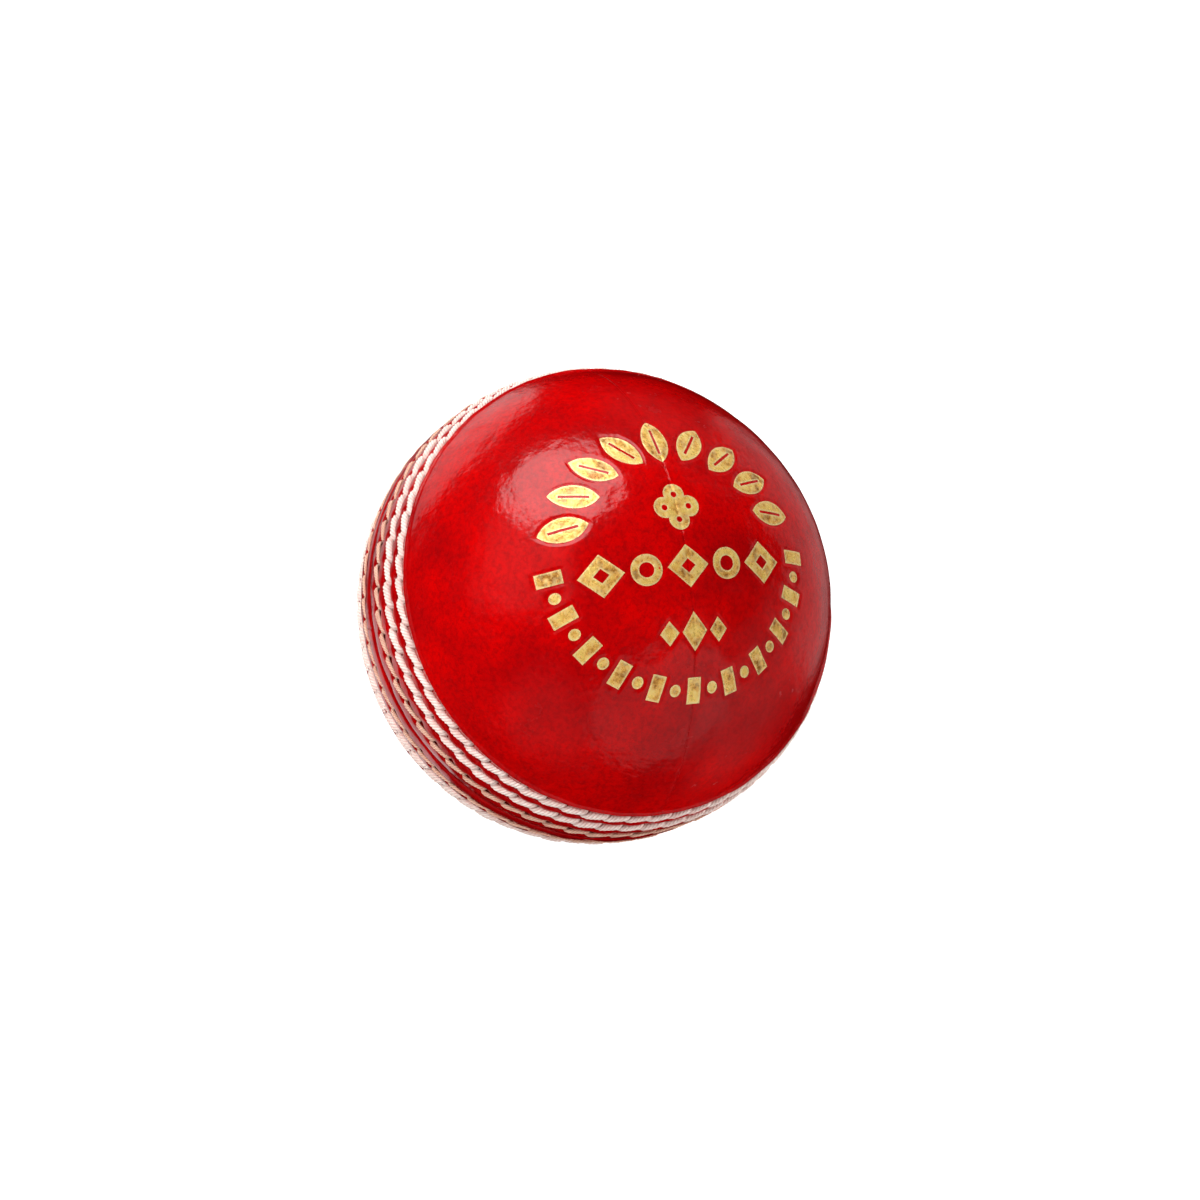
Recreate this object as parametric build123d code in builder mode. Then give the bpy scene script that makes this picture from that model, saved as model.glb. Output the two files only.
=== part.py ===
from build123d import *

import math
import os

# A four-piece cricket ball, in millimetres. The origin is the ball's centre and +Z points through
# the pole of the half that carries the foil stamp, so the main seam lies in the XY plane.
# The upper half's quarter seam lies in the XZ plane and the lower half's in the YZ plane.

# ---- Driving dimensions ----

ball_radius = 36.0
leather_thickness = 4.0

# The core: a nucleus, then alternating layers of cork pieces and wound yarn out to the leather.
core_layers = 5
cork_thickness = 1.3
yarn_thickness = 2.5
cork_pieces = 4
cork_gap_angle = 2.0

# The raised band of leather that carries the six rows of stitching.
band_rise = 0.35
band_latitude = 19.0
band_slope_latitude = 20.2
joint_groove = 0.45
quarter_groove = 0.3

# The rows, named from the joint outwards: latitude, thread radius, half length and slant.
stitches_per_row = 64
stitch_rows = {
    "inner": (5.3, 0.42, 1.50, 14.0),
    "middle": (10.9, 0.53, 1.75, 20.0),
    "outer": (16.1, 0.53, 1.75, 20.0),
}
stitch_crown = 0.10
stitch_depth = 0.90
thread_clearance = 0.05

# The thread that crosses from one half to the other below each pair of inner stitch holes.
closing_thread_radius = 0.4
closing_end_depth = 1.7
closing_middle_depth = 2.9

# The stitches hidden inside the leather along each quarter seam.
quarter_stitches_per_side = 10
quarter_stitch_spacing = 7.0
quarter_stitch_reach = 1.7
quarter_thread_radius = 0.4

# The foil stamp on the upper pole, drawn flat with its own right and up directions.
foil_thickness = 0.05
leaf_count = 9
leaf_spacing = 18.0
leaf_middle_radius = 17.2
leaf_length = 6.8
leaf_width = 3.7
leaf_tilt = 24.0
leaf_vein = (0.4, 4.1)
mark_spacing = 6.3
mark_line_height = -2.2
large_lozenge = (6.4, 6.2)
large_lozenge_hole = (2.2, 2.1)
ring_radius = 2.3
ring_hole_radius = 1.1
quatrefoil_height = 6.6
petal_radius = 1.6
petal_reach = 1.9
petal_hole_radius = 0.45
low_line_height = -11.4
low_spacing = 3.8
low_middle_lozenge = (3.8, 5.4)
low_side_lozenge = (2.8, 3.4)
bar_count = 11
bar_spacing = 17.2
bar_middle_radius = 19.3
bar_size = (3.4, 2.0)
bar_dot_radius = 0.8

core_radius = ball_radius - leather_thickness
layer_thickness = cork_thickness + yarn_thickness
nucleus_radius = core_radius - core_layers * layer_thickness
band_radius = ball_radius + band_rise

# The lower half is the upper half turned over and given a quarter turn.
lower_half = Location((0, 0, 0), (0, 0, 90)) * Location((0, 0, 0), (180, 0, 0))
half_turn = Location((0, 0, 0), (0, 0, 180))
half_pitch = Location((0, 0, 0), (0, 0, 180 / stitches_per_row))


def on_circle(radius, latitude):
    """The point of the XZ profile at this radius from the centre and latitude above the joint."""
    angle = math.radians(latitude)
    return (radius * math.cos(angle), radius * math.sin(angle))


def shell_profile(inner_radius, outer_radius):
    """The half-moon section of a spherical shell, from pole to pole."""
    with BuildLine() as outline:
        ThreePointArc((0, -outer_radius), (outer_radius, 0), (0, outer_radius))
        Line((0, outer_radius), (0, inner_radius))
        ThreePointArc((0, inner_radius), (inner_radius, 0), (0, -inner_radius))
        Line((0, -inner_radius), (0, -outer_radius))
    return outline.line


def cork_wrap(inner_radius, axis_plane):
    """One layer of cork: curved pieces laid round the ball with a narrow gap between them."""
    step = 360 / cork_pieces
    with BuildPart() as piece:
        with BuildSketch(Plane.XZ):
            add(shell_profile(inner_radius, inner_radius + cork_thickness))
            make_face()
        revolve(axis=Axis.Z, revolution_arc=step - cork_gap_angle)
    with BuildPart() as wrap:
        with Locations(axis_plane.location):
            with PolarLocations(0, cork_pieces):
                add(piece.part)
    return wrap.part


def yarn_winding(inner_radius):
    """One layer of wound yarn, a closed shell that holds everything inside it."""
    with BuildPart() as winding:
        Sphere(inner_radius + yarn_thickness)
        Sphere(inner_radius, mode=Mode.SUBTRACT)
    return winding.part


def stitch(thread_radius, half_length, clearance=0.0):
    """One stitch along X: an arc of thread that rises over Z = 0 and dives into a hole at each end."""
    rise = stitch_crown + stitch_depth
    arc_radius = (half_length**2 + rise**2) / (2 * rise)
    end_angle = math.degrees(math.asin(half_length / arc_radius) + clearance / arc_radius)
    with BuildPart() as one:
        with BuildLine(Plane.XZ) as path:
            centre = (0, stitch_crown - arc_radius)
            CenterArc(centre, arc_radius, 90 - end_angle, 2 * end_angle)
        with BuildSketch(Plane(path.line @ 0, z_dir=path.line % 0)):
            Circle(thread_radius + clearance)
        sweep()
    return one.part


def stitch_row(row, clearance=0.0):
    """A whole row of stitches round the upper half, each slanted towards the pole."""
    latitude, thread_radius, half_length, slant = stitch_rows[row]
    reach, height = on_circle(band_radius, latitude)
    rise = Vector(0, 0, 1).rotate(Axis.Y, -latitude)
    along = Vector(0, 1, 0) * math.cos(math.radians(slant)) + rise * math.sin(math.radians(slant))
    seat = Plane((reach, 0, height), x_dir=along, z_dir=(reach, 0, height))
    one = stitch(thread_radius, half_length, clearance)
    with BuildPart() as group:
        with PolarLocations(0, stitches_per_row):
            with Locations(seat.location):
                add(one)
    return group.part


def closing_threads(clearance=0.0):
    """The passes of thread that tie the halves together inside the leather, across the joint."""
    latitude = stitch_rows["inner"][0]
    top = on_circle(band_radius - closing_end_depth, latitude)
    middle = (band_radius - closing_middle_depth, 0)
    bottom = (top[0], -top[1])
    with BuildPart() as one:
        with BuildLine(Plane.XZ) as path:
            ThreePointArc(bottom, middle, top)
        with BuildSketch(Plane(path.line @ 0, z_dir=path.line % 0)):
            Circle(closing_thread_radius + clearance)
        sweep()
    with BuildPart() as group:
        with PolarLocations(0, stitches_per_row):
            with Locations(half_pitch):
                add(one.part)
    return group.part


def quarter_seam_stitches(clearance=0.0):
    """Loops of thread hidden in the inner half of the leather, across the upper quarter seam."""
    loop_centre = core_radius + quarter_thread_radius / 4
    first = quarter_stitch_spacing / 2
    tilts = [first + quarter_stitch_spacing * index for index in range(quarter_stitches_per_side)]
    with BuildPart() as one:
        with BuildLine(Plane.YZ) as path:
            CenterArc((0, loop_centre), quarter_stitch_reach, 0, 180)
        with BuildSketch(Plane(path.line @ 0, z_dir=path.line % 0)):
            Circle(quarter_thread_radius + clearance)
        sweep()
    with BuildPart() as group:
        for tilt in tilts:
            with Locations(Location((0, 0, 0), (0, tilt, 0)), Location((0, 0, 0), (0, -tilt, 0))):
                add(one.part)
    return group.part


def leather_profile():
    """The section of the upper cover: inner sphere, joint face, groove, raised band and outer sphere."""
    middle_latitude = (band_slope_latitude + 90) / 2
    groove_lip = math.degrees(math.asin(joint_groove / band_radius))
    with BuildLine() as outline:
        ThreePointArc((0, core_radius), on_circle(core_radius, 45), (core_radius, 0))
        Line((core_radius, 0), (band_radius - joint_groove, 0))
        Line((band_radius - joint_groove, 0), on_circle(band_radius, groove_lip))
        ThreePointArc(
            on_circle(band_radius, groove_lip),
            on_circle(band_radius, band_latitude / 2),
            on_circle(band_radius, band_latitude),
        )
        Line(on_circle(band_radius, band_latitude), on_circle(ball_radius, band_slope_latitude))
        ThreePointArc(
            on_circle(ball_radius, band_slope_latitude),
            on_circle(ball_radius, middle_latitude),
            (0, ball_radius),
        )
        Line((0, ball_radius), (0, core_radius))
    return outline.line


def leather_quarter():
    """The quarter of the cover on the +Y side of the upper half, with its holes for the thread."""
    with BuildPart() as quarter:
        with BuildSketch(Plane.XZ):
            add(leather_profile())
            make_face()
        revolve(axis=Axis.Z, revolution_arc=180)
        with BuildSketch(Plane.XY):
            with Locations((ball_radius, 0)):
                groove_side = (quarter_groove, quarter_groove)
                Polygon((-quarter_groove, 0), groove_side, (quarter_groove, 0), align=None)
        revolve(axis=Axis.Y, mode=Mode.SUBTRACT)
        for row in stitch_rows:
            add(stitch_row(row, thread_clearance), mode=Mode.SUBTRACT)
        add(closing_threads(thread_clearance), mode=Mode.SUBTRACT)
        add(quarter_seam_stitches(thread_clearance), mode=Mode.SUBTRACT)
    return quarter.part


def pressed_foil(marks):
    """Flat marks pressed on to the upper pole as foil: their outline cut from a very thin shell."""
    with BuildPart() as foil:
        with BuildSketch(stamp_plane):
            add(marks)
        extrude(amount=ball_radius)
        Sphere(ball_radius + foil_thickness, mode=Mode.INTERSECT)
        Sphere(ball_radius, mode=Mode.SUBTRACT)
    return foil.part


def leaf_marks():
    """A wreath of plain leaves with a slit vein, over the upper part of the stamp."""
    with BuildSketch() as leaf:
        with BuildLine():
            ThreePointArc((0, -leaf_length / 2), (leaf_width / 2, 0), (0, leaf_length / 2))
            ThreePointArc((0, leaf_length / 2), (-leaf_width / 2, 0), (0, -leaf_length / 2))
        make_face()
        Rectangle(*leaf_vein, mode=Mode.SUBTRACT)
    with BuildSketch() as wreath:
        for index in range(leaf_count):
            step = index - (leaf_count - 1) / 2
            turn = Location((0, 0, 0), (0, 0, -step * leaf_spacing))
            tilt = -math.copysign(leaf_tilt, step) if step else 0
            with Locations(turn * Location((0, leaf_middle_radius, 0), (0, 0, tilt))):
                add(leaf.sketch)
    return wreath.sketch


def lozenge(width, height):
    """The corner points of an upright lozenge."""
    return [(-width / 2, 0), (0, -height / 2), (width / 2, 0), (0, height / 2)]


def centre_marks():
    """A quatrefoil over a line of lozenges and rings, with three small lozenges below."""
    with BuildSketch() as marks:
        with Locations((0, quatrefoil_height)):
            Circle(petal_reach / 2)
            with PolarLocations(petal_reach, 4):
                Circle(petal_radius)
            with PolarLocations(petal_reach, 4):
                Circle(petal_hole_radius, mode=Mode.SUBTRACT)
        with Locations((0, mark_line_height)):
            with GridLocations(2 * mark_spacing, 0, 3, 1):
                Polygon(*lozenge(*large_lozenge))
                Polygon(*lozenge(*large_lozenge_hole), mode=Mode.SUBTRACT)
            with GridLocations(2 * mark_spacing, 0, 2, 1):
                Circle(ring_radius)
                Circle(ring_hole_radius, mode=Mode.SUBTRACT)
        with Locations((0, low_line_height)):
            Polygon(*lozenge(*low_middle_lozenge))
            with GridLocations(2 * low_spacing, 0, 2, 1):
                Polygon(*lozenge(*low_side_lozenge))
    return marks.sketch


def bar_marks():
    """An arc of short upright bars with round dots between them, under the stamp."""
    first = -90 - bar_spacing * (bar_count - 1) / 2
    with BuildSketch() as marks:
        with PolarLocations(bar_middle_radius, bar_count, first, bar_spacing * bar_count):
            Rectangle(*bar_size)
        dot_first = first + bar_spacing / 2
        with PolarLocations(bar_middle_radius, bar_count - 1, dot_first, bar_spacing * (bar_count - 1)):
            Circle(bar_dot_radius)
    return marks.sketch


def finished(part, name):
    """Labels a finished piece and writes it to its own file."""
    part.label = name
    export_step(part, f"parts/{name}.step")


def placed(part, location):
    """The same piece again, at another place on the ball."""
    with BuildPart() as copy:
        with Locations(location):
            add(part)
    return copy.part


os.makedirs("parts", exist_ok=True)

# ---- Core ----

with BuildPart() as nucleus:
    Sphere(nucleus_radius)
finished(nucleus.part, "core_nucleus")

for layer in range(core_layers):
    layer_radius = nucleus_radius + layer * layer_thickness
    wrap_plane = (Plane.XY, Plane.YZ, Plane.ZX)[layer % 3]
    finished(cork_wrap(layer_radius, wrap_plane), f"cork_wrap_{layer + 1}")
    finished(yarn_winding(layer_radius + cork_thickness), f"yarn_winding_{layer + 1}")

# ---- Leather cover ----

quarter = leather_quarter()
finished(placed(quarter, Location()), "upper_quarter_back")
finished(placed(quarter, half_turn), "upper_quarter_front")
finished(placed(quarter, lower_half), "lower_quarter_right")
finished(placed(quarter, lower_half * half_turn), "lower_quarter_left")

# ---- Thread ----

hidden_stitches = quarter_seam_stitches()
finished(placed(hidden_stitches, Location()), "upper_quarter_seam_thread")
finished(placed(hidden_stitches, lower_half), "lower_quarter_seam_thread")

for row in stitch_rows:
    stitches = stitch_row(row)
    finished(placed(stitches, Location()), f"upper_{row}_stitches")
    finished(placed(stitches, lower_half), f"lower_{row}_stitches")

finished(closing_threads(), "closing_thread")

# ---- Foil stamp, with its up direction along -X and its right along +Y ----

stamp_plane = Plane((0, 0, 0), x_dir=(0, 1, 0), z_dir=(0, 0, 1))
finished(pressed_foil(leaf_marks()), "foil_leaf_wreath")
finished(pressed_foil(centre_marks()), "foil_centre_marks")
finished(pressed_foil(bar_marks()), "foil_bar_arc")
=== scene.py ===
import math

import bpy
import numpy as np
from mathutils import Matrix, Vector
from mathutils.geometry import delaunay_2d_cdt


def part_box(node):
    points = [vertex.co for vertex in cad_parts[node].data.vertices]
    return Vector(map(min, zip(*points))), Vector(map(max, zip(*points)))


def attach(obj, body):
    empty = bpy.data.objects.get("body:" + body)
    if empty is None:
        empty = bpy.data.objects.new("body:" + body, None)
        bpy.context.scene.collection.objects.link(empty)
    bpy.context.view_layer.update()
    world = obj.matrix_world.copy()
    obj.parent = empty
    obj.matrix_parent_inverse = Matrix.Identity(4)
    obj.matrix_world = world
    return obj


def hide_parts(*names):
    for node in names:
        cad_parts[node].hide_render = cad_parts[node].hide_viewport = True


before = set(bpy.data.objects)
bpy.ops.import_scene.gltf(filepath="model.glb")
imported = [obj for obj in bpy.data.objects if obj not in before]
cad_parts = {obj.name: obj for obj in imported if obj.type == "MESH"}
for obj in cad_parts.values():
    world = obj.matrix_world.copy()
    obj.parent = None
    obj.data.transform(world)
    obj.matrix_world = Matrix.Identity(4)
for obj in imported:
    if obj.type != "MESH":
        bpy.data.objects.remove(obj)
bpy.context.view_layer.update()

# A cricket ball round the origin, +Z through the pole that carries the foil stamp. Shapes are worked
# out in millimetres and turned into metres when a mesh is made.

MM = 0.001
BALL_RADIUS = round(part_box("upper_quarter_back")[1].z / MM, 2)
CORE_RADIUS = round(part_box("yarn_winding_5")[1].z / MM, 2)

# ---- Seam ----

STITCHES = 64
PITCH_ANGLE = 2 * math.pi / STITCHES
STITCH_AZIMUTHS = np.arange(STITCHES) * PITCH_ANGLE
ROW_LATITUDES = {"inner": 5.3, "middle": 10.9, "outer": 16.1}
BAND_HEIGHT = 0.10
BAND_EDGE = (18.2, 20.0)
CHANNEL_DEPTH = 0.52
CHANNEL_WIDTH = 1.05
LIP_LATITUDE, LIP_HEIGHT, LIP_WIDTH = 18.9, 0.24, 0.45
PIT_DEPTH = 0.60
JOINT_DEPTH, JOINT_WIDTH = 0.50, 0.45
SHOULDER_DEPTH, SHOULDER_WIDTH = 0.14, 1.5
QUARTER_GROOVE_DEPTH = 0.07
QUARTER_GROOVE_WIDTH = 0.16

# ---- Stamp: flat marks on the upper pole, its right along +Y and its up along -X ----

STAMP_DEPTH = 0.09
FOIL_LIFT, FOIL_SINK = 0.035, 0.05
LEAF_COUNT, LEAF_SPACING, LEAF_RADIUS = 9, 18.0, 17.2
LEAF_LENGTH, LEAF_WIDTH, LEAF_TILT = 6.8, 3.7, 24.0
MARK_SPACING = 6.3
LEAF_VEIN = (LEAF_WIDTH / 9, LEAF_LENGTH * 0.6)
QUATREFOIL_HEIGHT = 6.6
PETAL_RADIUS, PETAL_REACH, PETAL_HOLE_RADIUS = 1.6, 1.9, 0.45
MARK_LINE_HEIGHT, LOW_LINE_HEIGHT, LOW_SPACING = -2.2, -11.4, 3.8
LARGE_LOZENGE, LARGE_LOZENGE_HOLE = (6.4, 6.2), (2.2, 2.1)
RING_RADIUS, RING_HOLE_RADIUS = 2.3, 1.1
LOW_MIDDLE_LOZENGE, LOW_SIDE_LOZENGE = (3.8, 5.4), (2.8, 3.4)
BAR_COUNT, BAR_SPACING, BAR_RADIUS = 11, 17.2, 19.3
BAR_SIZE, BAR_DOT_RADIUS = (3.4, 2.0), 0.8

# ---- Thread ----

# Half a stitch's length, its slant in degrees and its height over the ball, then the strand's radius,
# its number of plies and the length in which they turn once. The eye's two strands bow apart.
TWINE_HALF, TWINE_SLANT, TWINE_HEIGHT = 2.20, 18.0, -0.15
TWINE_RADIUS, TWINE_PLIES, TWINE_LAY = 0.62, 5, 2.9
EYE_HALF, EYE_SLANT, EYE_HEIGHT, EYE_BOW = 2.12, 16.0, 0.05, 0.25
EYE_RADIUS, EYE_PLIES, EYE_LAY = 0.23, 3, 1.5
# How far a ply's middle lies from the strand's, and its radius, as shares of the strand's radius.
PLY_REACH, PLY_RADIUS = 0.60, 0.42

# ---- Where the pieces of each half stand ----

UPPER = Matrix.Identity(3)
LOWER = Matrix.Rotation(math.radians(90), 3, "Z") @ Matrix.Rotation(math.radians(180), 3, "X")
HALF_TURN = Matrix.Rotation(math.radians(180), 3, "Z")

# The leather's uneven surface. The foil follows the same surface as the leather below it.
LEATHER_SEED = 11


# =============================== small tools ===============================


def smoothstep(low, high, value):
    """0 at low, 1 at high, and smooth between, as an array."""
    share = np.clip((value - low) / (high - low), 0, 1)
    return share * share * (3 - 2 * share)


def bell(value, centre, width):
    """A smooth bump of height 1."""
    return np.exp(-(((value - centre) / width) ** 2))


def waves(points, wavelength, seed, count=28):
    """A smooth random field of about unit height, made of plane waves near this wavelength."""
    rng = np.random.default_rng(seed)
    ways = rng.normal(size=(count, 3))
    ways /= np.linalg.norm(ways, axis=1)[:, None]
    lengths = wavelength * rng.uniform(0.7, 1.6, count)
    phases = rng.uniform(0, 2 * math.pi, count)
    field = np.cos(points @ (ways * (2 * math.pi / lengths[:, None])).T + phases)
    return field.sum(axis=1) * math.sqrt(2 / count)


def turned(points, matrix):
    """Points turned by a 3 x 3 matrix."""
    return points @ np.array(matrix).T


def make_mesh(name, points, faces, smooth=True, **attributes):
    """A mesh object from points in millimetres, with its point attributes."""
    mesh = bpy.data.meshes.new(name)
    mesh.from_pydata((np.asarray(points) * MM).tolist(), [], faces)
    mesh.validate()
    for key, values in attributes.items():
        layer = mesh.attributes.new(key, "FLOAT", "POINT")
        layer.data.foreach_set("value", np.asarray(values, np.float32))
    if smooth:
        mesh.polygons.foreach_set("use_smooth", [True] * len(mesh.polygons))
    mesh.update()
    piece = bpy.data.objects.new(name, mesh)
    bpy.context.scene.collection.objects.link(piece)
    return piece


def dress(piece, material, slot, *nodes):
    """Gives a piece its material, and lets it ride in place of CAD nodes. Its slot argument is not used."""
    piece.data.materials.clear()
    piece.data.materials.append(material)
    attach(piece, "root")
    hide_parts(*nodes)


# =============================== stamp outlines ===============================


def placed(loop, x=0.0, y=0.0, turn=0.0):
    """A closed outline turned by degrees, then moved."""
    c, s = math.cos(math.radians(turn)), math.sin(math.radians(turn))
    loop = np.asarray(loop, float)
    return loop @ np.array([[c, s], [-s, c]]) + (x, y)


def circle(radius, sides=40):
    """A round outline."""
    angles = np.linspace(0, 2 * math.pi, sides, endpoint=False)
    return np.stack([radius * np.cos(angles), radius * np.sin(angles)], axis=1)


def lozenge(width, height):
    """An upright lozenge."""
    return np.array([(-width / 2, 0), (0, -height / 2), (width / 2, 0), (0, height / 2)])


def bar(width, height):
    """An upright rectangle."""
    w, h = width / 2, height / 2
    return np.array([(-w, -h), (w, -h), (w, h), (-w, h)])


def leaf():
    """A pointed leaf between two arcs, along Y."""
    half, wide = LEAF_LENGTH / 2, LEAF_WIDTH / 2
    radius = (half**2 + wide**2) / (2 * wide)
    reach = math.asin(half / radius)
    angles = np.linspace(-reach, reach, 24)
    right = np.stack([radius * np.cos(angles) - radius + wide, radius * np.sin(angles)], axis=1)
    left = -right[1:-1]
    return np.concatenate([right, left])


def quatrefoil():
    """Four round petals as one outline."""
    angles = np.linspace(0, 2 * math.pi, 96, endpoint=False)
    near = np.abs((angles + math.pi / 4) % (math.pi / 2) - math.pi / 4)
    inside = np.maximum(PETAL_RADIUS**2 - (PETAL_REACH * np.sin(near)) ** 2, 0)
    radius = PETAL_REACH * np.cos(near) + np.sqrt(inside)
    return np.stack([radius * np.cos(angles), radius * np.sin(angles)], axis=1)


def leaf_marks():
    """A wreath of plain leaves, each with a slit vein. Each mark is its outline, then its holes."""
    marks = []
    for index in range(LEAF_COUNT):
        step = index - (LEAF_COUNT - 1) / 2
        tilt = -math.copysign(LEAF_TILT, step) if step else 0.0
        loops = [placed(loop, 0, LEAF_RADIUS, tilt) for loop in (leaf(), bar(*LEAF_VEIN))]
        marks.append([placed(loop, turn=-step * LEAF_SPACING) for loop in loops])
    return marks


def centre_marks():
    """A quatrefoil over a line of lozenges and rings, with three small lozenges below."""
    line, low = MARK_LINE_HEIGHT, LOW_LINE_HEIGHT
    marks = [[placed(quatrefoil(), 0, QUATREFOIL_HEIGHT)]]
    for x, y in ((1, 0), (0, 1), (-1, 0), (0, -1)):
        hole = circle(PETAL_HOLE_RADIUS, 16)
        marks[0].append(placed(hole, PETAL_REACH * x, QUATREFOIL_HEIGHT + PETAL_REACH * y))
    for x in (-2 * MARK_SPACING, 0, 2 * MARK_SPACING):
        marks.append([placed(lozenge(*size), x, line) for size in (LARGE_LOZENGE, LARGE_LOZENGE_HOLE)])
    for x in (-MARK_SPACING, MARK_SPACING):
        marks.append([placed(circle(RING_RADIUS), x, line), placed(circle(RING_HOLE_RADIUS, 24), x, line)])
    marks.append([placed(lozenge(*LOW_MIDDLE_LOZENGE), 0, low)])
    marks += [[placed(lozenge(*LOW_SIDE_LOZENGE), x, low)] for x in (-LOW_SPACING, LOW_SPACING)]
    return marks


def bar_marks():
    """An arc of short upright bars with round dots between them."""
    marks = []
    for index in range(2 * BAR_COUNT - 1):
        turn = -90 + (index - (BAR_COUNT - 1)) * BAR_SPACING / 2
        loop = circle(BAR_DOT_RADIUS, 20) if index % 2 else bar(*BAR_SIZE)
        marks.append([placed(placed(loop, BAR_RADIUS, 0), turn=turn)])
    return marks


STAMP = {"foil_leaf_wreath": leaf_marks(), "foil_centre_marks": centre_marks(), "foil_bar_arc": bar_marks()}


def inside_loops(points, loops):
    """Whether each flat point lies inside an outline and outside its holes."""
    inside = np.zeros(len(points), bool)
    for loop in loops:
        ends = np.roll(loop, -1, axis=0)
        for (x1, y1), (x2, y2) in zip(loop, ends):
            if y1 == y2:
                continue
            spans = (points[:, 1] >= min(y1, y2)) & (points[:, 1] < max(y1, y2))
            crossing = x1 + (points[:, 1] - y1) * (x2 - x1) / (y2 - y1)
            inside ^= spans & (points[:, 0] < crossing)
    return inside


def loop_distance(points, loops):
    """The distance from each flat point to the nearest outline or hole edge."""
    nearest = np.full(len(points), np.inf)
    for loop in loops:
        for start, end in zip(loop, np.roll(loop, -1, axis=0)):
            way = end - start
            share = np.clip(((points - start) @ way) / max(way @ way, 1e-12), 0, 1)
            nearest = np.minimum(nearest, np.linalg.norm(points - start - share[:, None] * way, axis=1))
    return nearest


def stamp_press(points):
    """How far the stamp presses the leather in, from 0 to 1, at points on the upper half."""
    press = np.zeros(len(points))
    flat = np.stack([points[:, 1], -points[:, 0]], axis=1)
    for marks in STAMP.values():
        for loops in marks:
            centre, reach = loops[0].mean(axis=0), 0.9
            reach += np.linalg.norm(loops[0] - centre, axis=1).max()
            near = np.flatnonzero((np.linalg.norm(flat - centre, axis=1) < reach) & (points[:, 2] > 0))
            if len(near) == 0:
                continue
            gap = loop_distance(flat[near], loops[:1])
            gap[inside_loops(flat[near], loops[:1])] = 0
            press[near] = np.maximum(press[near], 1 - smoothstep(0.12, 0.55, gap))
    return press


# =============================== leather ===============================


def seam_height(latitude, azimuth):
    """The band's height over the ball at a latitude of its own half, with channels and pits."""
    band = BAND_HEIGHT * (1 - smoothstep(*BAND_EDGE, latitude))
    band += LIP_HEIGHT * bell(latitude, LIP_LATITUDE, LIP_WIDTH)
    offset = azimuth / PITCH_ANGLE - 0.5
    offset = (offset - np.round(offset)) * PITCH_ANGLE * BALL_RADIUS * np.cos(np.radians(latitude))
    arc = math.pi * BALL_RADIUS / 180
    for row, centre in ROW_LATITUDES.items():
        width = CHANNEL_WIDTH * (0.7 if row == "inner" else 1.0)
        band -= CHANNEL_DEPTH * bell(latitude, centre, width)
        reach = 0.5 if row == "inner" else 0.8
        for way in (-1, 1):
            along, across = offset - 0.25 * way, (latitude - centre) * arc - reach * way
            band -= PIT_DEPTH * bell(along, 0, 0.5) * bell(across, 0, 0.42)
    band -= JOINT_DEPTH * bell(latitude, 0, JOINT_WIDTH)
    band -= SHOULDER_DEPTH * bell(latitude, 0, SHOULDER_WIDTH)
    return band


def leather_radius(points, placement, seed):
    """The radius of the leather along unit vectors given in a quarter's own frame."""
    latitude = np.degrees(np.arcsin(np.clip(points[:, 2], -1, 1)))
    azimuth = np.arctan2(points[:, 1], points[:, 0])
    world = turned(points * BALL_RADIUS, placement)
    away = smoothstep(20, 30, latitude)
    height = seam_height(latitude, azimuth)
    height += (0.050 * waves(world, 19, seed) + 0.016 * waves(world, 7, seed + 1)) * (0.35 + 0.65 * away)
    stamped = (1 - smoothstep(17, 25, np.linalg.norm(world[:, :2], axis=1))) * (world[:, 2] > 0)
    height += (0.075 * waves(world, 8.5, seed + 4) + 0.012 * waves(world, 3.0, seed + 5)) * stamped
    height += 0.006 * waves(world, 3.2, seed + 2) + 0.03 * waves(world, 4.5, seed + 3) * (1 - away)
    groove = np.abs(points[:, 1]) * BALL_RADIUS
    height -= QUARTER_GROOVE_DEPTH * bell(groove, 0, QUARTER_GROOVE_WIDTH)
    height -= 0.02 * bell(groove, 0, 0.9)
    height -= STAMP_DEPTH * stamp_press(world)
    return BALL_RADIUS + height


def latitude_rows(stamped):
    """The latitudes of a quarter's rows of points, close together where there is most to show."""
    band = np.arange(0, 21.0, 0.32)
    plain = np.arange(21.0, 52.0, 0.85)
    fine = np.arange(52.0, 89.6, 0.45 if stamped else 0.85)
    return np.concatenate([band, plain, fine])


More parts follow.
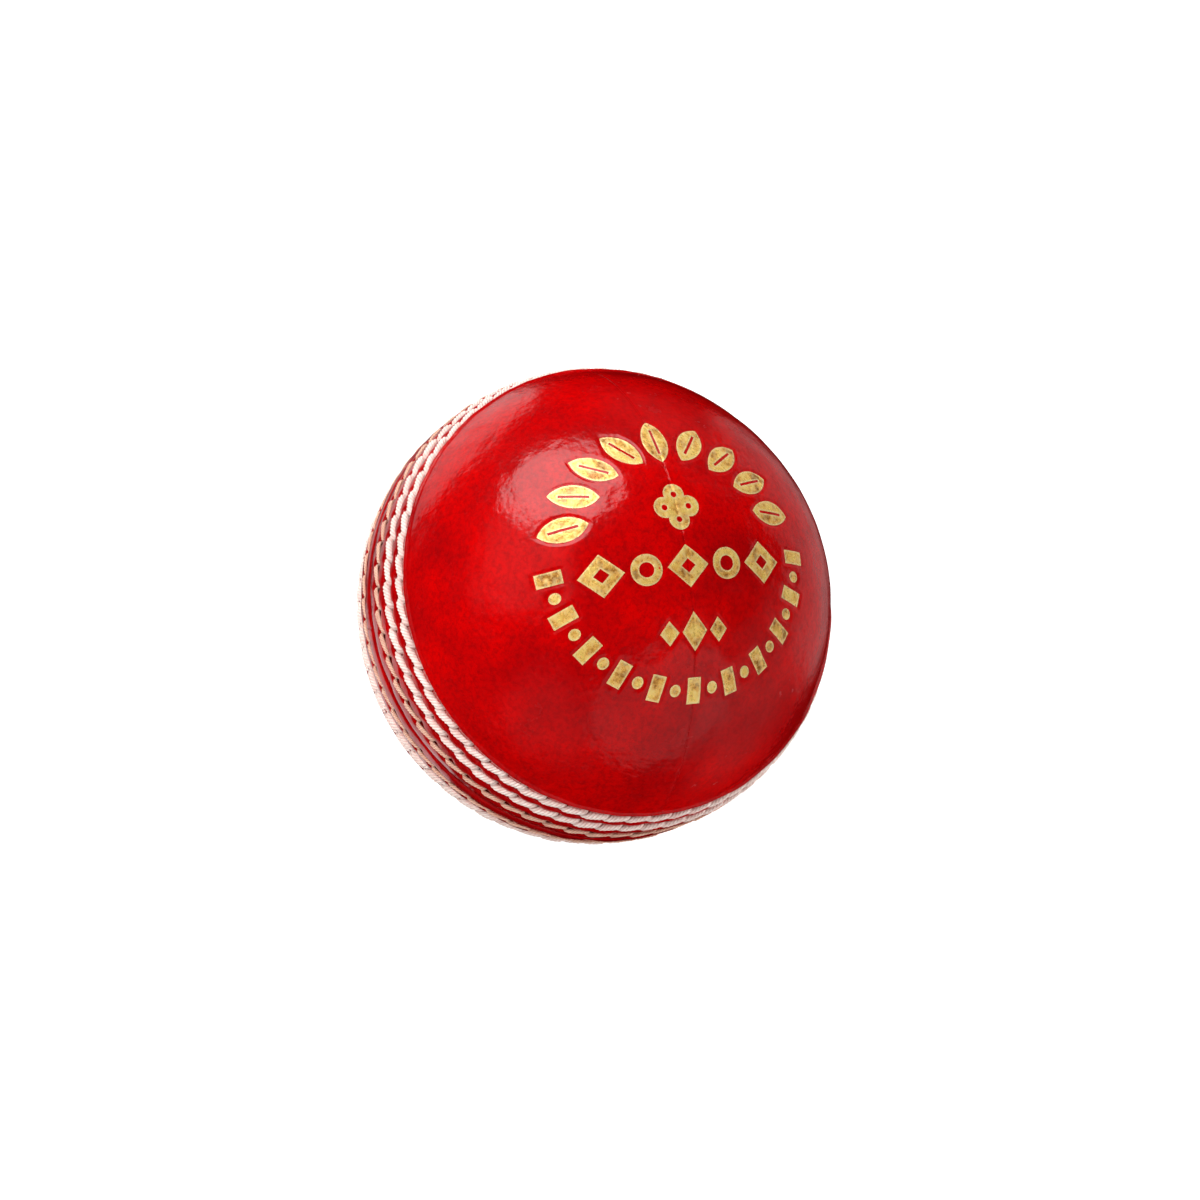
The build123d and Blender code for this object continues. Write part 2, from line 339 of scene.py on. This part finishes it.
def leather_quarter(name, placement, seed, stamped):
    """One quarter of the cover: a detailed outside, a plain inside and walls round its edge."""
    columns, coarse = 512, 8
    halving_latitude = 75.0
    points, rows, faces = [], [], []
    count = 0
    for latitude in latitude_rows(stamped):
        wide = columns if latitude < halving_latitude else columns // 2
        azimuths = np.linspace(0, math.pi, wide + 1)
        level = math.radians(latitude)
        ring = [math.cos(level) * np.cos(azimuths), math.cos(level) * np.sin(azimuths)]
        points.append(np.stack([*ring, np.full(wide + 1, math.sin(level))], axis=1))
        rows.append(np.arange(count, count + wide + 1))
        count += wide + 1
    pole = count
    points.append(np.array([[0.0, 0.0, 1.0]]))
    for low, high in zip(rows[:-1], rows[1:]):
        if len(low) == len(high):
            faces += np.stack([low[:-1], low[1:], high[1:], high[:-1]], axis=1).tolist()
        else:
            sides = [low[:-2:2], low[1:-1:2], low[2::2], high[1:], high[:-1]]
            faces += np.stack(sides, axis=1).tolist()
    faces += [[int(a), int(b), pole] for a, b in zip(rows[-1][:-1], rows[-1][1:])]
    outside = np.concatenate(points)
    outside = outside * leather_radius(outside, placement, seed)[:, None]
    outside[rows[0], 2] = 0
    for row in rows:
        outside[row[[0, -1]], 1] = 0

    inner_rows, inner_points = [], []
    count = pole + 1
    picked = list(range(0, len(rows), coarse))
    for index in picked:
        row = rows[index][:: coarse if len(rows[index]) == columns + 1 else coarse // 2]
        ring = outside[row] / np.linalg.norm(outside[row], axis=1)[:, None] * CORE_RADIUS
        inner_points.append(ring)
        inner_rows.append(np.arange(count, count + len(row)))
        count += len(row)
    inner_pole = count
    inner_points.append(np.array([[0.0, 0.0, CORE_RADIUS]]))
    for low, high in zip(inner_rows[:-1], inner_rows[1:]):
        faces += np.stack([low[1:], low[:-1], high[:-1], high[1:]], axis=1).tolist()
    last = inner_rows[-1]
    faces += [[int(b), int(a), inner_pole] for a, b in zip(last[:-1], last[1:])]
    for k in range(len(inner_rows[0]) - 1):
        rim = rows[0][k * coarse : (k + 1) * coarse + 1][::-1].tolist()
        faces.append([int(inner_rows[0][k]), int(inner_rows[0][k + 1]), *rim])
    for side in (0, -1):
        rims = [[int(row[side]) for row in rows[a : b + 1]] for a, b in zip(picked[:-1], picked[1:])]
        rims.append([int(row[side]) for row in rows[picked[-1] :]] + [pole])
        ends = [int(row[side]) for row in inner_rows] + [inner_pole]
        for rim, low, high in zip(rims, ends[:-1], ends[1:]):
            wall = [low, *rim, high]
            faces.append(wall if side else wall[::-1])
    everything = turned(np.concatenate([outside, *inner_points]), placement)
    latitude = np.degrees(np.arcsin(np.clip(outside[:, 2] / np.linalg.norm(outside, axis=1), -1, 1)))
    azimuth = np.arctan2(outside[:, 1], outside[:, 0])
    # Painted shade: how far the leather lies below the band, which darkens the channels and pits towards
    # near black.
    sunk = np.clip((BAND_HEIGHT * (latitude < 19.5) - seam_height(latitude, azimuth)) / 0.9, 0, 1)
    sunk = np.concatenate([sunk, np.zeros(len(everything) - len(sunk))])
    # Painted shade: how near each point is to the seam band, which darkens the band's leather.
    seam = np.concatenate([1 - smoothstep(17.5, 21, latitude), np.zeros(len(everything) - len(latitude))])
    return make_mesh(name, everything, faces, sunk=sunk, seam=seam)


# =============================== foil ===============================


def foil_points(loops):
    """Outline points close together, then a grid of points inside, with the outline's edges."""
    points, edges = [], []
    for loop in loops:
        first = len(points)
        for start, end in zip(loop, np.roll(loop, -1, axis=0)):
            steps = max(1, round(float(np.linalg.norm(end - start)) / 0.3))
            points += [tuple(start + (end - start) * k / steps) for k in range(steps)]
        last = len(points)
        edges += [(k, k + 1) for k in range(first, last - 1)] + [(last - 1, first)]
    low, high = loops[0].min(axis=0), loops[0].max(axis=0)
    across, upward = (np.arange(low[k], high[k], 0.32) for k in (0, 1))
    grid = np.stack(np.meshgrid(across, upward), axis=-1).reshape(-1, 2)
    keep = inside_loops(grid, loops) & (loop_distance(grid, loops) > 0.16)
    return points + [tuple(p) for p in grid[keep]], edges


def foil_piece(name, marks):
    """The thin foil of a group of marks, laid on the pressed leather."""
    tops, faces = [], []
    for loops in marks:
        points, edges = foil_points(loops)
        flat, _, triangles, *_ = delaunay_2d_cdt([Vector(p) for p in points], edges, [], 1, 1e-5)
        flat = np.array([tuple(p) for p in flat])
        triangles = np.array([t for t in triangles])
        middles = flat[triangles].mean(axis=1)
        triangles = triangles[inside_loops(middles, loops)]
        used = np.unique(triangles)
        renumber = np.full(len(flat), -1)
        renumber[used] = np.arange(len(used)) + sum(len(t) for t in tops)
        tops.append(flat[used])
        faces += renumber[triangles].tolist()
    flat = np.concatenate(tops)
    across = np.stack([-flat[:, 1], flat[:, 0]], axis=1) / BALL_RADIUS
    height = np.sqrt(1 - (across**2).sum(axis=1))
    unit = np.concatenate([across, height[:, None]], axis=1)
    front = unit[:, 1] < 0
    radius = leather_radius(unit, UPPER, LEATHER_SEED)
    radius[front] = leather_radius(turned(unit[front], HALF_TURN), HALF_TURN, LEATHER_SEED)
    radius += FOIL_LIFT + 0.012 * waves(unit * BALL_RADIUS, 1.1, 71)
    top = unit * radius[:, None]
    bottom = unit * (radius - FOIL_LIFT - FOIL_SINK)[:, None]
    count = len(top)
    directed = dict.fromkeys(edge for a, b, c in faces for edge in ((a, b), (b, c), (c, a)))
    walls = [[b, a, a + count, b + count] for a, b in directed if (b, a) not in directed]
    under = [[c + count, b + count, a + count] for a, b, c in faces]
    edge_gap = np.concatenate([loop_distance(t, loops) for t, loops in zip(tops, marks)])
    return make_mesh(
        name,
        np.concatenate([top, bottom]),
        faces + walls + under,
        smooth=False,
        rim=np.concatenate([edge_gap, np.zeros(count)]),
    )


# =============================== thread ===============================


def ball_points(azimuth, latitude, radius):
    """Points from azimuth and latitude in radians and a radius."""
    level = np.cos(latitude)
    unit = np.stack([np.cos(azimuth) * level, np.sin(azimuth) * level, np.sin(latitude)], axis=-1)
    return unit * radius[..., None]


def twisted_tubes(path, thickness, plies, lay, twist_start, sides):
    """Tubes of twisted plies along many paths at once.

    path is an array of strands x steps x 3, and thickness one of strands x steps.
    """
    along = np.gradient(path, axis=1)
    step = np.linalg.norm(along, axis=-1)
    along /= step[..., None]
    outward = path / np.linalg.norm(path, axis=-1)[..., None]
    up = outward - along * (outward * along).sum(axis=-1)[..., None]
    up /= np.linalg.norm(up, axis=-1)[..., None]
    side = np.cross(along, up)
    travelled = np.cumsum(step, axis=1)
    angles = np.linspace(0, 2 * math.pi, sides, endpoint=False)
    turn = twist_start[:, None] + travelled * (2 * math.pi / lay)
    half = math.pi / plies
    local = (angles[None, None, :] - turn[..., None] + half) % (2 * half) - half
    inside = np.maximum(PLY_RADIUS**2 - (PLY_REACH * np.sin(local)) ** 2, 0.0)
    lobes = PLY_REACH * np.cos(local) + np.sqrt(inside)
    radius = lobes * thickness[..., None]
    offset = np.cos(angles)[None, None, :, None] * side[:, :, None, :]
    offset = offset + np.sin(angles)[None, None, :, None] * up[:, :, None, :]
    points = path[:, :, None, :] + offset * radius[..., None]
    strands, steps = path.shape[:2]
    index = np.arange(strands * steps * sides).reshape(strands, steps, sides)
    here, beside = index, np.roll(index, -1, axis=2)
    quads = np.stack([here[:, :-1], beside[:, :-1], beside[:, 1:], here[:, 1:]], axis=-1)
    faces = quads.reshape(-1, 4).tolist()
    faces += [row[::-1].tolist() for row in index[:, 0]] + [row.tolist() for row in index[:, -1]]
    valley = np.clip((1.0 - lobes) / 0.25, 0, 1)
    strand = np.broadcast_to(travelled[..., None], lobes.shape)
    around = np.broadcast_to(local + turn[..., None], lobes.shape)
    return points.reshape(-1, 3), faces, valley.ravel(), strand.ravel(), around.ravel()


def stitch_sways(seed):
    """Small differences between the stitches of a row."""
    rng = np.random.default_rng(seed)
    return rng.normal(size=(6, STITCHES))


def place_row(east, north, height, latitude):
    """Paths given in millimetres east, north and up from each stitch's middle, wrapped on the ball."""
    centre = math.radians(latitude)
    level = centre + north / BALL_RADIUS
    turn = STITCH_AZIMUTHS[:, None] + east / (BALL_RADIUS * math.cos(centre))
    return ball_points(turn, level, BALL_RADIUS + height)


def thread_piece(name, paths, thickness, plies, lay, sides, placement, seed):
    """One row's thread as a mesh, placed on its half."""
    rng = np.random.default_rng(seed + 50)
    starts = rng.uniform(0, 2 * math.pi, len(paths))
    points, faces, valley, strand, around = twisted_tubes(paths, thickness, plies, lay, starts, sides)
    height = np.linalg.norm(points, axis=1) - BALL_RADIUS
    shade = np.repeat(rng.uniform(0, 1, len(paths)), paths.shape[1] * sides)
    attributes = {"valley": valley, "rise": height, "strand": strand, "around": around, "shade": shade}
    return make_mesh(name, turned(points, placement), faces, **attributes)


def twine_row(name, row, placement, seed):
    """A row of fat slanted stitches, each with a blunt end that dives beside the start of the next."""
    long, east_sway, north_sway, slant_sway, fat, lift = stitch_sways(seed)
    u = np.linspace(-1, 1, 42)[None, :]
    x = u * (TWINE_HALF + 0.05 * long[:, None])
    slant = np.radians(TWINE_SLANT + 2.0 * slant_sway)[:, None]
    dive = np.where(u > 0, 1.15 * np.abs(u) ** 7.0, 0.95 * np.abs(u) ** 3.4)
    height = TWINE_HEIGHT + 0.03 * lift[:, None] - dive
    bow = 0.10 * (1 - u**2) - 0.05
    east = x * np.cos(slant) - bow * np.sin(slant) + 0.04 * east_sway[:, None]
    north = x * np.sin(slant) + bow * np.cos(slant) + 0.05 * north_sway[:, None]
    thickness = (TWINE_RADIUS + 0.018 * fat[:, None]) * (1 - 0.16 * np.abs(u) ** 4)
    paths = place_row(east, north, height, ROW_LATITUDES[row])
    return thread_piece(name, paths, thickness, TWINE_PLIES, TWINE_LAY, 30, placement, seed)


def eye_row(name, placement, seed):
    """The row beside the joint: two thin strands a stitch that part and meet again in a long eye."""
    long, east_sway, north_sway, slant_sway, fat, lift = stitch_sways(seed)
    u = np.linspace(-1, 1, 34)[None, :]
    x = u * (EYE_HALF + 0.05 * long[:, None])
    slant = np.radians(EYE_SLANT + 2.0 * slant_sway)[:, None]
    thickness = np.full(x.shape, EYE_RADIUS) * (1 - 0.2 * np.abs(u) ** 4)
    strands = []
    for way in (1, -1):
        bow = way * (EYE_BOW + 0.03 * fat[:, None]) * np.maximum(np.cos(u * math.pi / 2), 0) ** 0.35
        height = EYE_HEIGHT + 0.03 * lift[:, None] + 0.08 * way * u - 0.9 * np.abs(u) ** 7.0
        east = x * np.cos(slant) - bow * np.sin(slant) + 0.05 * east_sway[:, None]
        north = x * np.sin(slant) + bow * np.cos(slant) + 0.06 * north_sway[:, None]
        strands.append(place_row(east, north, height, ROW_LATITUDES["inner"]))
    paths = np.concatenate(strands)
    thickness = np.concatenate([thickness, thickness])
    return thread_piece(name, paths, thickness, EYE_PLIES, EYE_LAY, 18, placement, seed)


# =============================== materials ===============================


class Nodes:
    """A short way to write a node material."""

    def __init__(self, name):
        self.material = bpy.data.materials.new(name)
        self.material.use_nodes = True
        self.tree = self.material.node_tree
        self.shader = self.tree.nodes["Principled BSDF"]

    def set(self, **values):
        """Sets the shader's own sockets, with _ for each space in a socket's name."""
        for key, value in values.items():
            self.shader.inputs[key.replace("_", " ")].default_value = value

    def link(self, output, target):
        self.tree.links.new(output, target)

    def node(self, kind, **values):
        """A new shader node with its settings."""
        made = self.tree.nodes.new("ShaderNode" + kind)
        for key, value in values.items():
            setattr(made, key, value)
        return made

    def coordinates(self, scale=(1, 1, 1)):
        """Object coordinates in metres, stretched."""
        source = self.node("TexCoord")
        mapping = self.node("Mapping")
        mapping.inputs["Scale"].default_value = scale
        self.link(source.outputs["Object"], mapping.inputs["Vector"])
        return mapping.outputs["Vector"]

    def noise(self, size, detail=3.0, roughness=0.55, where=None, distortion=0.0):
        """Noise with features of about this size in millimetres."""
        made = self.node("TexNoise")
        made.inputs["Scale"].default_value = 1 / (size * MM)
        made.inputs["Detail"].default_value = detail
        made.inputs["Roughness"].default_value = roughness
        made.inputs["Distortion"].default_value = distortion
        self.link(where or self.coordinates(), made.inputs["Vector"])
        return made.outputs["Fac"]

    def cells(self, size, feature="F1"):
        """The distance to the middle of a random cell of about this size in millimetres."""
        made = self.node("TexVoronoi", feature=feature)
        made.inputs["Scale"].default_value = 1 / (size * MM)
        self.link(self.coordinates(), made.inputs["Vector"])
        return made.outputs["Distance"]

    def attribute(self, name):
        """A value kept on the mesh's points."""
        made = self.node("Attribute", attribute_name=name)
        return made.outputs["Fac"]

    def ramp(self, source, *stops):
        """A colour ramp through (place, colour) stops."""
        made = self.node("ValToRGB")
        elements = made.color_ramp.elements
        while len(elements) < len(stops):
            elements.new(0.5)
        for element, (place, colour) in zip(elements, stops):
            element.position = place
            element.color = (*colour, 1) if len(colour) == 3 else colour
        self.link(source, made.inputs["Fac"])
        return made.outputs["Color"]

    def spread(self, source, low, high, to_low, to_high):
        """Maps one range of values to another."""
        made = self.node("MapRange")
        for key, value in (("From Min", low), ("From Max", high), ("To Min", to_low), ("To Max", to_high)):
            made.inputs[key].default_value = value
        self.link(source, made.inputs["Value"])
        return made.outputs["Result"]

    def mix(self, share, first, second, blend="MIX"):
        """Mixes two colours, each a colour or an output."""
        made = self.node("Mix", data_type="RGBA", blend_type=blend)
        self.give(share, made.inputs["Factor"])
        self.give(first, made.inputs[6])
        self.give(second, made.inputs[7])
        return made.outputs[2]

    def give(self, value, target):
        """Sets a socket from a number, a colour or an output."""
        if isinstance(value, bpy.types.NodeSocket):
            self.link(value, target)
        elif isinstance(value, (int, float)):
            target.default_value = value
        else:
            target.default_value = (*value, 1)

    def maths(self, operation, first, second):
        """One sum of two values, each a number or an output."""
        made = self.node("Math", operation=operation)
        self.give(first, made.inputs[0])
        self.give(second, made.inputs[1])
        return made.outputs[0]

    def bumps(self, *layers):
        """Stacks (height output, distance in millimetres) layers as bump."""
        normal = None
        for height, distance in layers:
            made = self.node("Bump")
            made.inputs["Strength"].default_value = 1.0
            made.inputs["Distance"].default_value = distance * MM
            self.link(height, made.inputs["Height"])
            if normal is not None:
                self.link(normal, made.inputs["Normal"])
            normal = made.outputs["Normal"]
        self.link(normal, self.shader.inputs["Normal"])
        self.link(normal, self.shader.inputs["Coat Normal"])


def leather_material():
    """Deep red dyed leather under a glossy lacquer, mottled and finely grained, with painted shade over the
    seam band and near black painted shade in its channels and pits.
    """
    n = Nodes("red_leather")
    bright, deep = (0.56, 0.0004, 0.0006), (0.36, 0.0006, 0.0014)
    dark, hole = (0.12, 0.001, 0.002), (0.02, 0.001, 0.001)
    mottle = n.noise(16, 3.0, 0.5)
    colour = n.ramp(mottle, (0.36, deep), (0.56, bright))
    cloud = n.noise(4.5, 4.0, 0.6)
    colour = n.mix(n.spread(cloud, 0.42, 0.72, 0.0, 0.6), colour, deep)
    pores = n.noise(0.7, 3.0, 0.7)
    colour = n.mix(n.spread(pores, 0.42, 0.66, 0.0, 0.42), colour, dark)
    # Painted shade: the seam band's leather is darkened towards the dark colour.
    colour = n.mix(n.maths("MULTIPLY", n.attribute("seam"), 0.30), colour, dark)
    # Painted shade: the sunken channels and pits are darkened to near black with the hole colour.
    colour = n.mix(n.spread(n.attribute("sunk"), 0.25, 0.75, 0.0, 0.93), colour, hole)
    n.link(colour, n.shader.inputs["Base Color"])
    streaks = n.noise(0.9, 3.0, 0.6, n.coordinates((1.0, 0.25, 1.0)), 0.4)
    n.link(n.spread(cloud, 0.3, 0.75, 0.20, 0.30), n.shader.inputs["Roughness"])
    n.set(Specular_IOR_Level=0.12, Coat_Weight=0.75, Coat_Roughness=0.05, Coat_IOR=1.45)
    grain = n.cells(0.55, "SMOOTH_F1")
    n.bumps((n.noise(2.6, 2.0), 0.12), (streaks, 0.020), (grain, 0.010), (n.noise(0.45, 3.0), 0.022))
    return n.material


def twine_material(name, light, shade, stain_and_crease_shade, stain_share):
    """Waxed linen thread: fine fibres along the plies, painted shade between them, stained near the
    leather.
    """
    n = Nodes(name)
    fleck = n.noise(0.7, 3.0, 0.6)
    colour = n.ramp(fleck, (0.35, shade), (0.62, light))
    low = n.spread(n.attribute("rise"), -0.40, 0.35, 1.0, 0.0)
    patch = n.spread(n.noise(1.6, 2.0), 0.35, 0.7, 0.0, 1.0)
    tint = n.maths("MULTIPLY", n.maths("ADD", low, n.maths("MULTIPLY", patch, 0.35)), stain_share)
    colour = n.mix(tint, colour, stain_and_crease_shade)
    # Painted shade: the valleys between the plies are darkened towards the stain colour.
    colour = n.mix(n.spread(n.attribute("valley"), 0.35, 1.0, 0.0, 0.6), colour, stain_and_crease_shade)
    n.link(colour, n.shader.inputs["Base Color"])
    n.set(Roughness=0.62, Specular_IOR_Level=0.3, Sheen_Weight=0.25, Sheen_Roughness=0.5)
    fibre = n.node("CombineXYZ")
    n.link(n.attribute("strand"), fibre.inputs[0])
    n.link(n.maths("MULTIPLY", n.attribute("around"), 4.0), fibre.inputs[1])
    n.link(n.maths("MULTIPLY", n.attribute("shade"), 40.0), fibre.inputs[2])
    hairs = n.node("TexNoise")
    hairs.inputs["Scale"].default_value = 2.6
    hairs.inputs["Detail"].default_value = 4.0
    n.link(fibre.outputs[0], hairs.inputs["Vector"])
    n.bumps((hairs.outputs["Fac"], 0.035), (n.noise(0.12, 3.0), 0.02))
    return n.material


def foil_material():
    """Hot-pressed gold foil, crinkled, with a painted highlight along each mark's edge and the red showing
    where it has worn thin.
    """
    n = Nodes("gold_foil")
    bright, warm, brown = (1.0, 0.66, 0.16), (0.86, 0.44, 0.09), (0.40, 0.16, 0.03)
    pale, bare = (1.0, 0.82, 0.38), (0.30, 0.02, 0.01)
    fold = n.noise(2.4, 4.0, 0.65)
    crinkle = n.noise(0.8, 4.0, 0.6)
    colour = n.ramp(fold, (0.38, brown), (0.47, warm), (0.57, bright))
    colour = n.mix(n.spread(crinkle, 0.46, 0.7, 0.0, 0.5), colour, pale)
    # Painted highlight: each mark is paler along its edge.
    edge = n.spread(n.attribute("rim"), 0.08, 0.32, 0.75, 0.0)
    colour = n.mix(edge, colour, pale)
    chipped = n.spread(n.noise(0.6, 4.0, 0.7), 0.66, 0.70, 0.0, 1.0)
    n.link(n.mix(chipped, colour, bare), n.shader.inputs["Base Color"])
    n.link(n.spread(chipped, 0, 1, 0.4, 0.0), n.shader.inputs["Metallic"])
    n.link(n.spread(crinkle, 0.3, 0.7, 0.18, 0.40), n.shader.inputs["Roughness"])
    n.bumps((fold, 0.30), (crinkle, 0.08))
    return n.material


def cork_material(name, light, dark, size):
    """Cork: pale cells with dark flecks."""
    n = Nodes(name)
    cells = n.cells(size)
    colour = n.ramp(cells, (0.1, dark), (0.6, light))
    flecks = n.spread(n.noise(size * 0.8, 4.0), 0.6, 0.7, 0.0, 0.8)
    n.link(n.mix(flecks, colour, dark), n.shader.inputs["Base Color"])
    n.set(Roughness=0.9)
    n.bumps((cells, 0.25), (n.noise(0.5, 4.0), 0.1))
    return n.material


def yarn_material():
    """Wound wool: fine crossing strands."""
    n = Nodes("wound_yarn")
    strands = n.node("TexWave", wave_type="RINGS", rings_direction="SPHERICAL")
    strands.inputs["Scale"].default_value = 260
    strands.inputs["Distortion"].default_value = 9.0
    strands.inputs["Detail"].default_value = 3.0
    n.link(n.coordinates((1.0, 0.6, 0.8)), strands.inputs["Vector"])
    colour = n.ramp(strands.outputs["Fac"], (0.2, (0.42, 0.34, 0.24)), (0.8, (0.80, 0.73, 0.60)))
    n.link(colour, n.shader.inputs["Base Color"])
    n.set(Roughness=0.95, Sheen_Weight=0.4)
    n.bumps((strands.outputs["Fac"], 0.3), (n.noise(0.3, 4.0), 0.08))
    return n.material


# =============================== build the ball ===============================

leather = leather_material()
quarters = {
    "upper_quarter_back": (UPPER, LEATHER_SEED, True),
    "upper_quarter_front": (HALF_TURN, LEATHER_SEED, True),
    "lower_quarter_right": (LOWER, LEATHER_SEED + 20, False),
    "lower_quarter_left": (LOWER @ HALF_TURN, LEATHER_SEED + 20, False),
}
for node, (placement, seed, stamped) in quarters.items():
    dress(leather_quarter(f"leather_{node}", placement, seed, stamped), leather, "red_leather", node)

gold = foil_material()
for node, marks in STAMP.items():
    dress(foil_piece(f"pressed_{node}", marks), gold, "gold_foil", node)

white = twine_material("white_twine", (0.97, 0.85, 0.78), (0.90, 0.69, 0.61), (0.50, 0.10, 0.09), 0.36)
tan = twine_material("stained_thread", (0.96, 0.68, 0.50), (0.86, 0.50, 0.35), (0.40, 0.06, 0.04), 0.32)
for half, placement, seed in (("upper", UPPER, 101), ("lower", LOWER, 201)):
    for step, row in enumerate(("outer", "middle")):
        node = f"{half}_{row}_stitches"
        dress(twine_row(f"twine_{node}", row, placement, seed + step), white, "white_twine", node)
    node = f"{half}_inner_stitches"
    dress(eye_row(f"thread_{node}", placement, seed + 7), tan, "linen_thread", node)

# The pieces inside the ball keep their CAD shape.
cork = cork_material("cork_sheet", (0.55, 0.36, 0.20), (0.22, 0.12, 0.06), 2.4)
nucleus = cork_material("cork_rubber_granules", (0.40, 0.24, 0.13), (0.10, 0.06, 0.04), 1.6)
yarn = yarn_material()
inside = {"core_nucleus": nucleus, "closing_thread": tan}
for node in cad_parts:
    if node.startswith("cork_wrap"):
        inside[node] = cork
    if node.startswith("yarn_winding"):
        inside[node] = yarn
    if node.endswith("quarter_seam_thread"):
        inside[node] = tan
for node, material in inside.items():
    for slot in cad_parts[node].material_slots:
        slot.material = material

# =============================== studio ===============================

# The camera looks down on the stamp, with the pole up and to the right in the picture.
CAMERA_AZIMUTH = 24.0
POLE_TILT = 24.92
POLE_TURN = 31.53
CAMERA_DISTANCE = 12.0 * BALL_RADIUS * MM
# The ball's radius, and its offset from the middle, as shares of the frame's width.
BALL_SHARE = 0.1964167
CENTRE_SHIFT = (0.0040, 0.0050)


def camera_axes():
    """The camera's right, up and backward directions in the ball's frame."""
    azimuth, tilt, turn = (math.radians(a) for a in (CAMERA_AZIMUTH, POLE_TILT, POLE_TURN))
    back = Vector((math.sin(azimuth) * math.sin(tilt), -math.cos(azimuth) * math.sin(tilt), math.cos(tilt)))
    pole = (Vector((0, 0, 1)) - back * math.cos(tilt)).normalized()
    across = back.cross(pole)
    right = pole * math.cos(turn) - across * math.sin(turn)
    up = pole * math.sin(turn) + across * math.cos(turn)
    return right, up, back


RIGHT, UP, BACK = camera_axes()


def make_camera():
    """The camera, with the ball as large in the frame as BALL_SHARE says."""
    data = bpy.data.cameras.new("camera")
    half_angle = math.asin(BALL_RADIUS * MM / CAMERA_DISTANCE)
    data.sensor_width = 36.0
    data.lens = BALL_SHARE * data.sensor_width / math.tan(half_angle)
    data.shift_x, data.shift_y = CENTRE_SHIFT
    data.clip_start, data.clip_end = 0.01, 20
    camera = bpy.data.objects.new("camera", data)
    bpy.context.scene.collection.objects.link(camera)
    camera.matrix_world = Matrix.Translation(BACK * CAMERA_DISTANCE) @ Matrix(
        [[RIGHT[i], UP[i], BACK[i]] for i in range(3)]
    ).to_4x4()
    bpy.context.scene.camera = camera


def softbox(name, direction, distance, size, power, mirrored=True):
    """A rectangular soft light that faces the ball, and that the lacquer mirrors or not."""
    data = bpy.data.lights.new(name, "AREA")
    data.shape = "RECTANGLE"
    data.size, data.size_y = size
    data.energy = power
    light = bpy.data.objects.new(name, data)
    bpy.context.scene.collection.objects.link(light)
    direction = Vector(direction).normalized()
    light.location = direction * distance
    light.rotation_mode = "QUATERNION"
    light.rotation_quaternion = direction.to_track_quat("Z", "Y")
    light.visible_glossy = mirrored
    if not mirrored:
        return
    data.use_nodes = True
    tree = data.node_tree
    place = tree.nodes.new("ShaderNodeNewGeometry")
    centred = tree.nodes.new("ShaderNodeVectorMath")
    centred.inputs[1].default_value = (0.5, 0.5, 0)
    centred.operation = "SUBTRACT"
    reach = tree.nodes.new("ShaderNodeVectorMath")
    reach.operation = "LENGTH"
    fade = tree.nodes.new("ShaderNodeMapRange")
    fade.interpolation_type = "SMOOTHSTEP"
    for key, value in (("From Min", 0.36), ("From Max", 0.48), ("To Min", 1.3), ("To Max", 0.0)):
        fade.inputs[key].default_value = value
    tree.links.new(place.outputs["Parametric"], centred.inputs[0])
    tree.links.new(centred.outputs[0], reach.inputs[0])
    tree.links.new(reach.outputs["Value"], fade.inputs["Value"])
    tree.links.new(fade.outputs["Result"], tree.nodes["Emission"].inputs["Strength"])


def seen(right, up, back):
    """A direction given as the camera sees it."""
    return RIGHT * right + UP * up + BACK * back


def make_world():
    """A white backdrop all round. It lights nothing and isn't mirrored: the soft lights do that."""
    world = bpy.data.worlds.new("studio")
    world.use_nodes = True
    tree = world.node_tree
    backdrop = tree.nodes["Background"]
    backdrop.inputs["Color"].default_value = (1, 1, 1, 1)
    backdrop.inputs["Strength"].default_value = 0.96
    world.cycles_visibility.diffuse = False
    world.cycles_visibility.glossy = False
    bpy.context.scene.world = world


def make_floor():
    """A plain pale floor that the ball rests on. It neither lights the ball nor is mirrored in it."""
    size = 20.0
    low = -BALL_RADIUS * MM
    mesh = bpy.data.meshes.new("floor")
    corners = [(-size, -size, low), (size, -size, low), (size, size, low), (-size, size, low)]
    mesh.from_pydata(corners, [], [(0, 1, 2, 3)])
    floor = bpy.data.objects.new("floor", mesh)
    bpy.context.scene.collection.objects.link(floor)
    n = Nodes("pale_floor")
    colour = n.ramp(n.noise(60, 2.0), (0.3, (0.50, 0.50, 0.50)), (0.7, (0.52, 0.52, 0.52)))
    n.link(colour, n.shader.inputs["Base Color"])
    n.set(Roughness=0.9, Specular_IOR_Level=0.1, Emission_Color=(1, 1, 1, 1), Emission_Strength=0.90)
    mesh.materials.append(n.material)
    floor.visible_glossy = floor.visible_diffuse = floor.visible_shadow = False


make_camera()
make_world()
make_floor()
softbox("top_softbox", seen(-0.26, 0.84, 0.48), 0.60, (0.60, 0.52), 3.0)
softbox("key", seen(-0.55, 0.30, 0.75), 0.70, (0.5, 0.5), 5.3, mirrored=False)
softbox("fill", seen(0.70, -0.35, 0.55), 0.70, (0.5, 0.5), 0.9, mirrored=False)
softbox("low_key", seen(-0.30, -0.80, 0.50), 0.70, (0.5, 0.5), 1.9, mirrored=False)
softbox("back_fill", seen(0.35, 0.75, -0.25), 0.70, (0.5, 0.5), 3.6, mirrored=False)
softbox("table_glow", (0, 0, -1), 0.60, (0.6, 0.6), 0.8, mirrored=False)
softbox("low_sheen", seen(0.50, -0.75, 0.50), 0.60, (0.8, 0.8), 0.5)
softbox("rim_light", seen(0.90, 0.30, -0.75), 0.60, (0.8, 0.8), 0.35)
softbox("low_rim_light", seen(0.85, -0.45, -0.30), 0.60, (0.6, 0.6), 4.2, mirrored=False)
softbox("left_rim_light", seen(-0.75, 0.65, -0.75), 0.60, (0.7, 0.7), 0.8)
softbox("band_light", seen(-0.80, -0.35, -0.70), 0.60, (0.5, 0.7), 0.8)
bpy.context.scene.view_settings.view_transform = "Standard"
